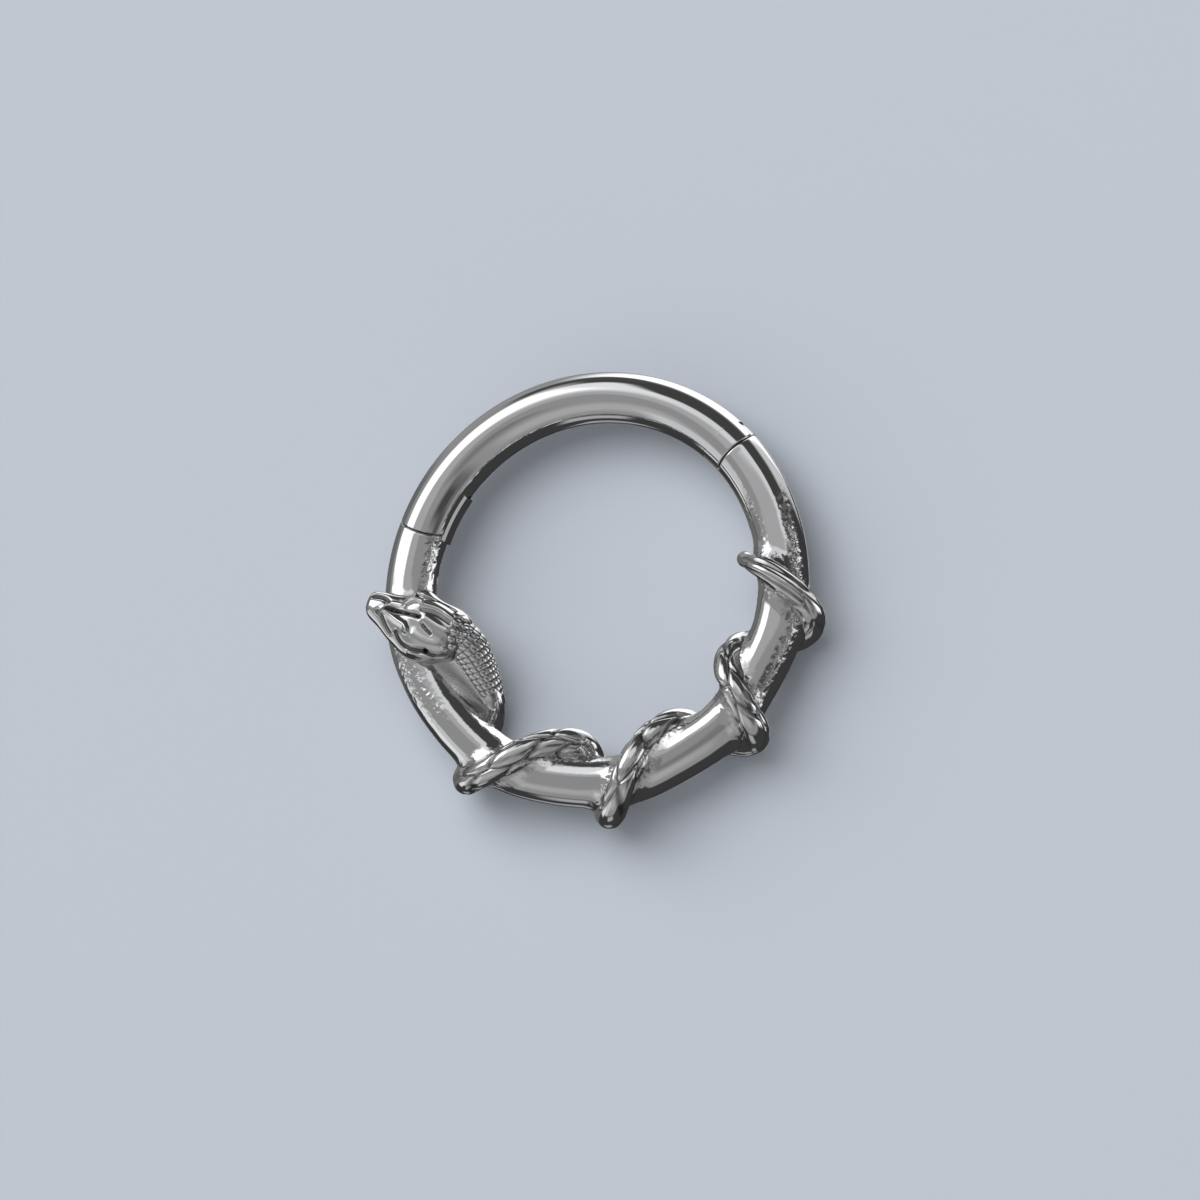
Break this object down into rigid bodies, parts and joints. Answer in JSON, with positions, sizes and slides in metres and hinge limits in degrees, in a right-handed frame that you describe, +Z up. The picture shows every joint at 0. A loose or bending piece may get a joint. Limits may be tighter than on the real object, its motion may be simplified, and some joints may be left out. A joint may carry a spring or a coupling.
{
  "type": "hinged segment ring with a snake wound round its wire",
  "caption": "Hinged segment ring for a piercing: a polished wire hoop whose smooth upper arc swings open as a gate, and whose lower arc is cast with a snake wound round it.",
  "frame": {"origin": "centre of the hoop, on the surface that the ring lies on", "axes": "+Z up along the hoop's axis, +Y towards the top of the gate, +X towards the side with the hinge"},
  "size_m": [0.0111, 0.0109, 0.0021],
  "materials": {
    "cast_steel": "cast and polished, with fine casting grain left in the hollows beside the snake",
    "polished_steel": "mirror polish",
    "pin_steel": "ground flush"
  },
  "bodies": {
    "casting": {"serpent_arc": "cast_steel"},
    "gate": {"hinged_gate": "polished_steel", "hinge_pin": "pin_steel"}
  },
  "joints": [
    {"name": "gate_hinge", "type": "hinge", "parent": "casting", "child": "gate", "pos_m": [0.00348, 0.00361, 0.001], "axis": [0, 0, -1], "range_deg": [0, 90]}
  ]
}
